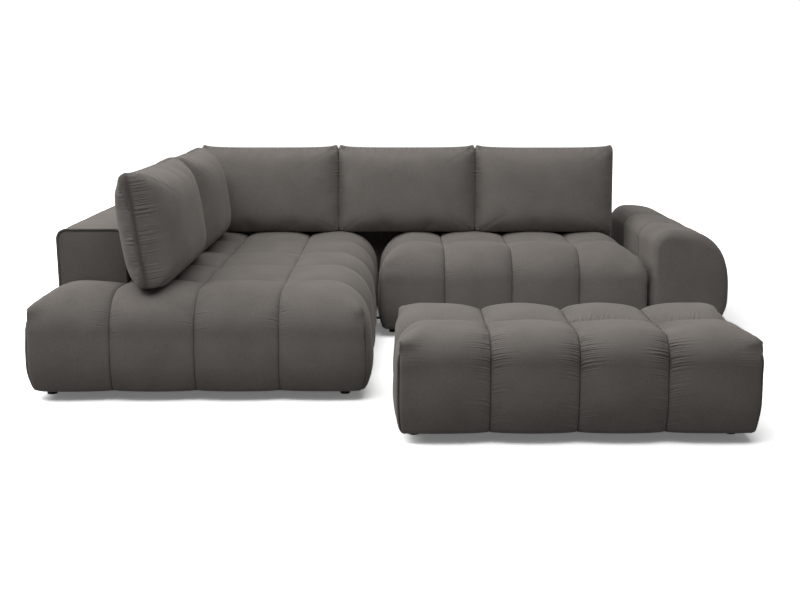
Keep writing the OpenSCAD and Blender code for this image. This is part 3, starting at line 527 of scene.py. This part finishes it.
def piping_piece(name):
    """Piping round the left back's front panel, just at its edge."""
    radius, step, bend = 4.5, 18, BACK_EDGE
    x0, x1 = BACK_INSET + 1.5, LEFT_BACK_INNER - 3
    y, low, high = LEFT_BACK_FRONT - 0.5, DECK_Z + 4, DECK_Z + BACK_H - 0.5
    turns = np.linspace(0, math.pi / 2, 9)
    path = [[x0, y, z] for z in np.arange(low, high - bend, step)]
    path += [[x0 + bend * (1 - math.cos(a)), y, high - bend * (1 - math.sin(a))] for a in turns]
    path += [[x, y, high] for x in np.arange(x0 + bend + 14, x1 - bend - 5, step)]
    path += [[x1 - bend * (1 - math.sin(a)), y, high - bend * (1 - math.cos(a))] for a in turns]
    path += [[x1, y, z] for z in np.arange(high - bend - step, low - 1, -step)]
    curve = bpy.data.curves.new(name, "CURVE")
    curve.dimensions = "3D"
    curve.bevel_depth, curve.bevel_resolution, curve.use_fill_caps = radius / 1000, 5, True
    spline = curve.splines.new("POLY")
    spline.points.add(len(path) - 1)
    for point, place in zip(spline.points, metres(path)):
        point.co = (*place, 1)
    obj = bpy.data.objects.new(name, curve)
    bpy.context.scene.collection.objects.link(obj)
    make_active(obj)
    bpy.ops.object.convert(target="MESH")
    obj = bpy.context.object
    shade_smooth(obj)
    mm = places(obj) * 1000
    far = np.full(len(mm), FAR)
    write_attribute(obj, "across", np.stack([far, mm[:, 2] / 1000, far], 1))
    write_attribute(obj, "along", np.stack([far, mm[:, 0] / 1000, far], 1))
    return obj


# Loose cushions: two panels sewn at the rim, filled by a cloth simulation, then leaned and set down

# How far back the seam lies at the rim, how much flatter the rear panel is at the ends, how far the upper
# corners stand up, and how full the corners are
SIDE_CUT = SimpleNamespace(seam_back=18, rear_slack=0.35, ear=4, corner=1.2)
REAR_CUT = SimpleNamespace(seam_back=6, rear_slack=0, ear=8, corner=0.6)
CUSHION_STEP, RIM_PAST, RIM_POWER, EAR_WIDE = 9.0, 14, 18, 60
# The share of its thickness that a cushion has before it is filled, and how far its folded bottom draws in
UNFILLED, BOTTOM_FOLD = 0.88, 0.4
CLOTH_FRAMES, CLOTH_PRESSURE, CLOTH_LIMIT = 20, 4.0, 22.0
REST_GAP, BACK_GAP = 0.2, 0.5
# Each cushion's node, width and thickness, and whether it stands on the left side
CUSHIONS = [("front_side_cushion_cover", 792, 280, True), ("corner_side_cushion_cover", 700, 280, True),
            ("left_rear_cushion_cover", 719, 220, False), ("middle_rear_cushion_cover", 719, 220, False),
            ("right_rear_cushion_cover", 727, 220, False)]


def half_thickness(u, v, t, corner):
    """Half the thickness of a filled cushion: the last part of the sum gives it full corners."""
    a = np.abs(u) ** POWER_ACROSS
    b = np.abs(v) ** np.where(v > 0, POWER_ABOVE, POWER_BELOW)
    plain = (1 - a) * (1 - b)
    return t / 2 * np.sqrt(plain + corner * a * b * np.sqrt(plain))


def crowded(count):
    """Shares from -1 to 1 that lie closer together at the ends."""
    s = np.linspace(-1, 1, count)
    return 0.6 * s + 0.4 * np.sin(np.pi / 2 * s)


def cushion_shape(w, t, cut):
    """Two panels that share their rim. The facts are each point's distance from the rim, its place along
    the rim and a number for its panel."""
    nu, nv = round(w / CUSHION_STEP) + 1, round(CUSHION_H / CUSHION_STEP) + 1
    u, v = (g.ravel() for g in np.meshgrid(crowded(nu), crowded(nv)))
    outermost = np.maximum(np.abs(u), np.abs(v))
    half = half_thickness(u, v, t, cut.corner)
    rounded = outermost / (u ** RIM_POWER + v ** RIM_POWER) ** (1 / RIM_POWER)
    x = u * (w + RIM_PAST) / 2 * rounded
    ear = cut.ear * np.exp(-((1 - np.abs(u)) * w / EAR_WIDE) ** 2)
    z = CUSHION_H / 2 * v * rounded - np.where(v > 0, v * (CUSHION_DRAW * (1 - u ** 6) - ear), 0)
    back_shift = cut.seam_back * outermost ** 5
    front = np.stack([x, back_shift - half, z], 1)
    rear = np.stack([x, back_shift + half * (1 - cut.rear_slack * np.abs(u) ** 3), z], 1)
    index = np.arange(nu * nv).reshape(nv, nu)
    inner = np.zeros((nv, nu), bool)
    inner[1:-1, 1:-1] = True
    rear_index = index.copy()
    rear_index[inner] = nu * nv + np.arange(inner.sum())
    points = np.concatenate([front, rear[inner.ravel()]])
    from_end, from_top = (1 - np.abs(u)) * w / 2, (1 - np.abs(v)) * CUSHION_H / 2
    d = np.minimum(from_end, from_top)
    along = np.where(from_end < from_top, z, x + 1000 * np.sign(v))
    facts = np.stack([d, along, np.full_like(d, 1.0)], 1)
    facts = np.concatenate([facts, facts[inner.ravel()] + [0, 0, 2.4]])
    quads = []
    for table, flip in ((index, False), (rear_index, True)):
        quad = np.stack([table[:-1, :-1], table[:-1, 1:], table[1:, 1:], table[1:, :-1]], -1).reshape(-1, 4)
        quads += (quad[:, ::-1] if flip else quad).tolist()
    return points, quads, facts


def fill_by_cloth(pieces):
    """The panels are blown up while their rims draw together, so that the cloth puckers beside them.
    A point hardly moves along its panel, and across it less than the limit."""
    scene, kept_move = bpy.context.scene, [0.02, 1, 0.02]
    for obj, facts in pieces:
        group = obj.vertex_groups.new(name="rim")
        for index in np.nonzero(facts[:, 0] < 1)[0]:
            group.add([int(index)], 1.0, "REPLACE")
        modifier = obj.modifiers.new("cloth", "CLOTH")
        cloth = modifier.settings
        cloth.quality, cloth.mass = 6, 0.25
        cloth.tension_stiffness = cloth.compression_stiffness = 24
        cloth.shear_stiffness, cloth.bending_stiffness = 8, 0.5
        cloth.use_pressure, cloth.uniform_pressure_force = True, CLOTH_PRESSURE
        cloth.vertex_group_shrink = "rim"
        cloth.shrink_min, cloth.shrink_max = -0.02, 0.05
        cloth.effector_weights.gravity = 0
    scene.frame_start, scene.frame_end = 1, CLOTH_FRAMES
    for number in range(1, CLOTH_FRAMES + 1):
        scene.frame_set(number)
    moved = []
    for obj, facts in pieces:
        start = places(obj)
        seen = obj.evaluated_get(bpy.context.evaluated_depsgraph_get())
        mesh = seen.to_mesh()
        end = np.empty(len(mesh.vertices) * 3)
        mesh.vertices.foreach_get("co", end)
        seen.to_mesh_clear()
        end = end.reshape(-1, 3)
        move = (end - start) * kept_move
        length = np.linalg.norm(move, axis=1, keepdims=True) * 1000 / CLOTH_LIMIT
        moved.append(start + move * np.tanh(length) / np.maximum(length, 1e-9))
    scene.frame_set(1)
    for (obj, facts), end in zip(pieces, moved):
        obj.modifiers.clear()
        obj.vertex_groups.clear()
        move_points(obj, end)


def set_down(obj, node, w, t, beside):
    """Leans a cushion on its back and flattens it where it rests, in the space of its CAD solid."""
    low = np.array(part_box(node)[0]) * 1000 + CENTRE
    rest = low[2] + REST_GAP
    p = places(obj) * 1000
    half = (p[:, 1].max() - p[:, 1].min()) / 2
    p[:, 1] = (p[:, 1] - p[:, 1].max() + half) * t / 2 / half
    sin, cos = math.sin(CUSHION_LEAN), math.cos(CUSHION_LEAN)
    flat_below = CUSHION_SETTLE / cos - CUSHION_H / 2
    middle_z = rest - CUSHION_SETTLE + CUSHION_H / 2 * cos

    def back_face(z):
        above = np.clip(z - DECK_Z - BACK_H + BACK_EDGE, 0, BACK_EDGE)
        return BACK_EDGE - np.sqrt(BACK_EDGE ** 2 - above ** 2)

    # The middle's depth, at which the cushion's rear just touches the back that it leans on
    v = np.linspace(-0.9, 0.6, 76)
    up, back = CUSHION_H / 2 * v, half_thickness(0, v, t, 0)
    z = middle_z + up * cos - back * sin
    room = back_face(z) - np.maximum(flat_below, up) * sin - back * cos
    middle_y = room[z < DECK_Z + BACK_H].min() - BACK_GAP

    folded = np.maximum(0, flat_below - p[:, 2])
    x = p[:, 0] * (1 - BOTTOM_FOLD * folded / (w / 2))
    y = middle_y + np.maximum(flat_below, p[:, 2]) * sin + p[:, 1] * cos
    z = middle_z + p[:, 2] * cos - p[:, 1] * sin
    z = np.maximum(rest, z)
    y = np.where(z < DECK_Z + BACK_H, np.minimum(y, back_face(z) - BACK_GAP), y)
    if beside:
        placed = np.stack([LEFT_BACK_INNER - y, low[1] + w / 2 + x, z], 1)
    else:
        placed = np.stack([low[0] + w / 2 + x, BACK_FRONT + y, z], 1)
    move_points(obj, metres(placed))


def cushion_pieces():
    made = []
    for node, w, t, beside in CUSHIONS:
        points, quads, facts = cushion_shape(w, UNFILLED * t, SIDE_CUT if beside else REAR_CUT)
        obj = new_piece(node.replace("_cover", ""), points / 1000, quads)
        write_attribute(obj, "across", facts / METRES_AND_NUMBER)
        write_attribute(obj, "along", np.full((len(points), 3), FAR))
        strength = 0.30 + 0.22 * ripple(facts[:, 1], 130, facts[:, 2])
        none, tight = np.zeros_like(strength), np.full_like(strength, 1.7)
        write_attribute(obj, "gather", np.stack([strength, none, tight], 1))
        made.append((obj, facts))
    fill_by_cloth(made)
    for (obj, _), (node, w, t, beside) in zip(made, CUSHIONS):
        subdivide(obj)
        set_down(obj, node, w, t, beside)
    return [obj for obj, _ in made]


# Finishes

class Socket:
    """An output of a shader node that takes part in arithmetic."""

    def __init__(self, finish, out):
        self.finish, self.out = finish, out

    def __add__(self, other):
        return self.finish.math("ADD", self, other)

    def __sub__(self, other):
        return self.finish.math("SUBTRACT", self, other)

    def __rsub__(self, other):
        return self.finish.math("SUBTRACT", other, self)

    def __mul__(self, other):
        return self.finish.math("MULTIPLY", self, other)

    def __pow__(self, other):
        return self.finish.math("POWER", self, other)

    def __neg__(self):
        return self * -1.0

    def exp(self):
        return self.finish.math("EXPONENT", self)

    __radd__, __rmul__ = __add__, __mul__


class Finish:
    """A material, or the world's light, that is made of nodes."""

    def __init__(self, owner, output="ShaderNodeOutputMaterial"):
        self.owner = owner
        owner.use_nodes = True
        self.tree = owner.node_tree
        self.tree.nodes.clear()
        self.output = self.tree.nodes.new(output)

    def node(self, kind, settings=None, sockets=None, output=0):
        made = self.tree.nodes.new(kind)
        for key, value in (settings or {}).items():
            setattr(made, key, value)
        for key, value in (sockets or {}).items():
            if isinstance(value, Socket):
                self.tree.links.new(value.out, made.inputs[key])
            else:
                made.inputs[key].default_value = value
        return Socket(self, made.outputs[output])

    def place(self, scale):
        found = self.node("ShaderNodeTexCoord", output="Object")
        return self.node("ShaderNodeMapping", {}, {"Vector": found, "Scale": scale})

    def noise(self, scale, detail, stretch=(1, 1, 1)):
        return self.node("ShaderNodeTexNoise", {},
                         {"Vector": self.place(stretch), "Scale": scale, "Detail": detail})

    def mix(self, factor, a, b):
        return self.node("ShaderNodeMix", {"data_type": "RGBA"}, {0: factor, 6: a, 7: b}, 2)

    def bump(self, height, distance, strength):
        return self.node("ShaderNodeBump", {}, {"Height": height, "Distance": distance,
                                                "Strength": strength})

    def math(self, operation, a, b=0.0):
        return self.node("ShaderNodeMath", {"operation": operation}, {0: a, 1: b})

    def ray(self, kind):
        return self.node("ShaderNodeLightPath", output=f"Is {kind} Ray")

    def show(self, shader):
        self.tree.links.new(shader.out, self.output.inputs["Surface"])
        return self.owner

    def finish(self, **sockets):
        named = {key.replace("_", " ").title().replace("Ior", "IOR"): value
                 for key, value in sockets.items()}
        return self.show(self.node("ShaderNodeBsdfPrincipled", {}, named))


def new_finish(name):
    return Finish(bpy.data.materials.new(name))


def shade(colour, by):
    return (*[min(1.0, c * by) for c in colour], 1.0)


def upholstery(name, colour):
    """Mottled woven cloth with sewn seams, painted shade in their creases, and the short gathers beside them.
    """
    threads, thread_stretch = 420, 0.16
    seam_sharpness, gather_fade, gather_start, gather_pitch = 480.0, 24.0, 260.0, 112.0
    f = new_finish(name)
    weft = f.noise(threads, 2, (thread_stretch, 1, 1))
    warp = f.noise(threads, 2, (1, thread_stretch, thread_stretch))
    cloud = f.noise(9, 3)
    nap = f.noise(1500, 1)
    across = f.node("ShaderNodeAttribute", {"attribute_name": "across"}, output=1)
    along = f.node("ShaderNodeAttribute", {"attribute_name": "along"}, output=1)
    strength = f.node("ShaderNodeAttribute", {"attribute_name": "gather"}, output=1)

    def part(vector, index):
        return f.node("ShaderNodeSeparateXYZ", {}, {0: vector}, index)

    seam, gathers = None, None
    for index, facts in enumerate((across, along)):
        d, s, phase = (part(facts, k) for k in range(3))
        line = (-((d * seam_sharpness) ** 2.0)).exp()
        fading = (-((d * gather_fade * part(strength, 2)) ** 1.5)).exp()
        near = fading * (1.0 - (-(d * gather_start)).exp())
        fold = f.node("ShaderNodeTexNoise", {"noise_dimensions": "1D"},
                      {"W": s * gather_pitch + phase * 5.3, "Scale": 1.0, "Detail": 1.5})
        gather = near * (fold - 0.5) * part(strength, index)
        seam = line if seam is None else seam + line
        gathers = gather if gathers is None else gathers + gather
    mottle = 0.5 * weft + 0.5 * warp + 0.55 * cloud
    light = f.mix(mottle * 1.9 - 0.97, shade(colour, 0.84), shade(colour, 1.17))
    # Painted shade: along the seams the colour darkens towards 30 % of itself, standing in for the shade in
    # their creases
    cloth = f.mix(seam * 0.62, light, shade(colour, 0.30))
    height = (weft + warp) * 0.30 + nap * 0.12 + gathers * 26.0 - seam * 1.6
    return f.finish(base_color=cloth, roughness=0.93, specular_ior_level=0.22, sheen_weight=0.30,
                    sheen_roughness=0.45, sheen_tint=shade(colour, 3.2),
                    normal=f.bump(height, 0.0010, 0.85))


def timber(name):
    f = new_finish(name)
    grain = f.noise(26, 4, (1, 0.09, 1))
    pores = f.noise(340, 2, (1, 0.06, 1))
    colour = f.mix(grain * 1.3 - 0.15, (0.46, 0.30, 0.16, 1), (0.68, 0.49, 0.29, 1))
    return f.finish(base_color=colour, roughness=pores * 0.25 + 0.55, normal=f.bump(pores, 0.0004, 0.5))


def moulded(name):
    f = new_finish(name)
    grain = f.noise(900, 2)
    smudge = f.noise(40, 2)
    colour = f.mix(smudge, (0.012, 0.012, 0.012, 1), (0.026, 0.025, 0.024, 1))
    return f.finish(base_color=colour, roughness=grain * 0.2 + 0.35, normal=f.bump(grain, 0.0002, 0.4))


def metal(name):
    """Blackened steel."""
    f = new_finish(name)
    brush = f.noise(600, 2, (0.05, 1, 1))
    colour = f.mix(brush, (0.030, 0.031, 0.033, 1), (0.055, 0.055, 0.057, 1))
    return f.finish(base_color=colour, metallic=1.0, roughness=brush * 0.2 + 0.38,
                    normal=f.bump(brush, 0.0001, 0.5))


def soft_core(name, dark, pale, cell):
    """Foam, fibre, webbing and the cloth underneath: a fine grain in two tones."""
    f = new_finish(name)
    grain, cloud = f.noise(cell, 2), f.noise(14, 2)
    colour = f.mix(0.6 * grain + 0.4 * cloud, (*dark, 1), (*pale, 1))
    return f.finish(base_color=colour, roughness=0.95, specular_ior_level=0.2,
                    normal=f.bump(grain, 0.0012, 0.6))


# Floor, light and background

WORLD_FILL, FLOOR_GLOW, FLOOR_BRIGHT = 0.06, 0.15, 2.4
# The floor turns wholly white between two ellipses round the object, so that it has no edge
FLOOR_SHAPE, GLOW_FROM, GLOW_FULL = (0.33, 0.4, 1), 0.75, 1.5


def white_ground():
    """A pale floor and world that the camera, and mirrors, see as white; the floor keeps the shadow."""
    world = bpy.data.worlds.new("studio")
    bpy.context.scene.world = world
    f = Finish(world, "ShaderNodeOutputWorld")
    mirrored = f.math("MAXIMUM", f.ray("Glossy"), f.ray("Transmission"))
    seen = f.math("MAXIMUM", f.ray("Camera"), mirrored)
    fill, white = (f.node("ShaderNodeBackground", {}, {"Color": (1, 1, 1, 1), "Strength": strength})
                   for strength in (WORLD_FILL, 1.0))
    f.show(f.node("ShaderNodeMixShader", {}, {0: seen, 1: fill, 2: white}))

    deselect()
    bpy.ops.mesh.primitive_plane_add(size=300)
    floor = bpy.context.object
    floor.name = "floor"
    f = new_finish("pale_floor")
    away = f.node("ShaderNodeVectorMath", {"operation": "LENGTH"}, {0: f.place(FLOOR_SHAPE)}, 1)
    far = f.node("ShaderNodeMapRange", {"interpolation_type": "SMOOTHSTEP"},
                 {"Value": away, "From Min": GLOW_FROM, "From Max": GLOW_FULL, "To Min": FLOOR_GLOW,
                  "To Max": 1.0})
    glow = f.node("ShaderNodeEmission", {}, {"Color": (1, 1, 1, 1), "Strength": far})
    colour = f.mix(f.noise(30, 2), (0.29, 0.29, 0.29, 1), (0.31, 0.31, 0.31, 1))
    plain = f.node("ShaderNodeBsdfDiffuse", {}, {"Color": colour})
    bright = f.node("ShaderNodeBsdfDiffuse", {}, {"Color": (*[FLOOR_BRIGHT] * 3, 1)})
    lit = f.node("ShaderNodeAddShader", {}, {0: bright, 1: glow})
    floor.data.materials.append(
        f.show(f.node("ShaderNodeMixShader", {}, {0: f.ray("Camera"), 1: plain, 2: lit})))


def lamp(name, place, size, power):
    """A softbox that points at the object's middle."""
    data = bpy.data.lights.new(name, "AREA")
    data.shape = "RECTANGLE"
    data.size, data.size_y = size
    data.energy = power
    obj = bpy.data.objects.new(name, data)
    obj.location = place
    aim = np.array([0, 0, 0.3]) - np.array(place)
    obj.rotation_euler = (math.atan2(math.hypot(aim[0], aim[1]), -aim[2]), 0,
                          math.atan2(-aim[0], aim[1]))
    bpy.context.scene.collection.objects.link(obj)


def photo_camera():
    data = bpy.data.cameras.new("photo_camera")
    data.sensor_fit, data.sensor_width, data.lens = "HORIZONTAL", 36.0, 47.16
    data.clip_start, data.clip_end = 0.05, 200
    obj = bpy.data.objects.new("photo_camera", data)
    obj.location = (-0.0854, -4.7135, 1.2346)
    obj.rotation_euler = (math.radians(78.1), 0, math.radians(-0.3))
    bpy.context.scene.collection.objects.link(obj)
    bpy.context.scene.camera = obj


# The scene

CLOTH_COLOUR = (0.205, 0.187, 0.172)

photo_camera()
bpy.context.scene.view_settings.view_transform = "Standard"

cover = upholstery("woven_cloth", CLOTH_COLOUR)
welt = upholstery("piping_cloth", tuple(0.85 * c for c in CLOTH_COLOUR))
cores = {
    "timber": timber("frame_timber"), "feet": moulded("black_feet"), "steel": metal("plate_steel"),
    "foam": soft_core("cut_foam", (0.70, 0.60, 0.34), (0.88, 0.79, 0.52), 700),
    "fibre": soft_core("white_fibre", (0.78, 0.78, 0.76), (0.92, 0.92, 0.90), 300),
    "webbing": soft_core("elastic_webbing", (0.03, 0.03, 0.034), (0.07, 0.07, 0.075), 900),
    "bottom_cloth": soft_core("underside_cloth", (0.018, 0.018, 0.018), (0.045, 0.045, 0.045), 800),
    "upholstery": cover, "piping": welt}
slots = {entry["node"]: entry["material_slot"] for entry in frame["record"]["subparts"]}
for name, obj in frame["nodes"].items():
    for holder in obj.material_slots:
        holder.material = cores[slots[name]]


def declare(obj, body, node, material=None):
    obj.data.materials.clear()
    obj.data.materials.append(material or cover)
    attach(obj, body)
    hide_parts(node)


BACK_TOP, BACK_REAR = DECK_Z + BACK_H, REAR_Y - BACK_INSET
declare(tufted_piece("chaise_quilt", [*CHAISE_X[:-1], MEETING + 0.4], CHAISE_Y, SEAT_H, SEAT_EDGE,
                     CHAISE_NUB, 9.0, gather=1.6, deck=[(CHAISE_X[1], CHAISE_Y[1], CHAISE_Y[-2])]),
        "sofa", "chaise_cover")
declare(tufted_piece("seat_quilt", [MEETING - 0.4, *SEAT_X[1:]], SEAT_Y, SEAT_H, SEAT_EDGE,
                     SEAT_NUB, 8.0, gather=1.0, deck=[(0, REAR_Y, SEAT_Y[-2])]),
        "sofa", "seat_cover")
declare(tufted_piece("footstool_quilt", STOOL_X, STOOL_Y, STOOL_H, STOOL_EDGE,
                     STOOL_NUB, 6.0, gather=2.6, pucker=1.0, tuck=14),
        "footstool", "stool_cover")
declare(arm_piece("arm_quilt"), "sofa", "arm_cover")
declare(back_piece("left_back", [BACK_INSET, LEFT_BACK_FRONT, DECK_Z],
                   [LEFT_BACK_INNER, BACK_REAR, BACK_TOP], 1),
        "sofa", "left_back_cover")
declare(back_piece("chaise_back", [LEFT_BACK_INNER + 2, BACK_FRONT, BACK_FOOT],
                   [MEETING + 0.2, BACK_REAR, BACK_TOP], 0),
        "sofa", "chaise_back_cover")
declare(back_piece("seat_back", [MEETING - 0.2, BACK_FRONT, BACK_FOOT],
                   [SEAT_X[-1] - BACK_INSET + SEAT_BACK_PAST, BACK_REAR, BACK_TOP], 0),
        "sofa", "seat_back_cover")
declare(piping_piece("left_back_welt"), "sofa", "left_back_piping", welt)
for obj, (node, *_) in zip(cushion_pieces(), CUSHIONS):
    declare(obj, node.replace("_cover", ""), node)

white_ground()
lamp("left_softbox", (-7, 1, 6), (5, 5), 320)
lamp("front_softbox", (-2.5, -4.2, 6), (5, 4), 62)
lamp("ceiling_light", (-0.2, -1.3, 4.0), (5, 4), 112)
lamp("rear_fill", (-1, 6, 6), (5, 5), 35)
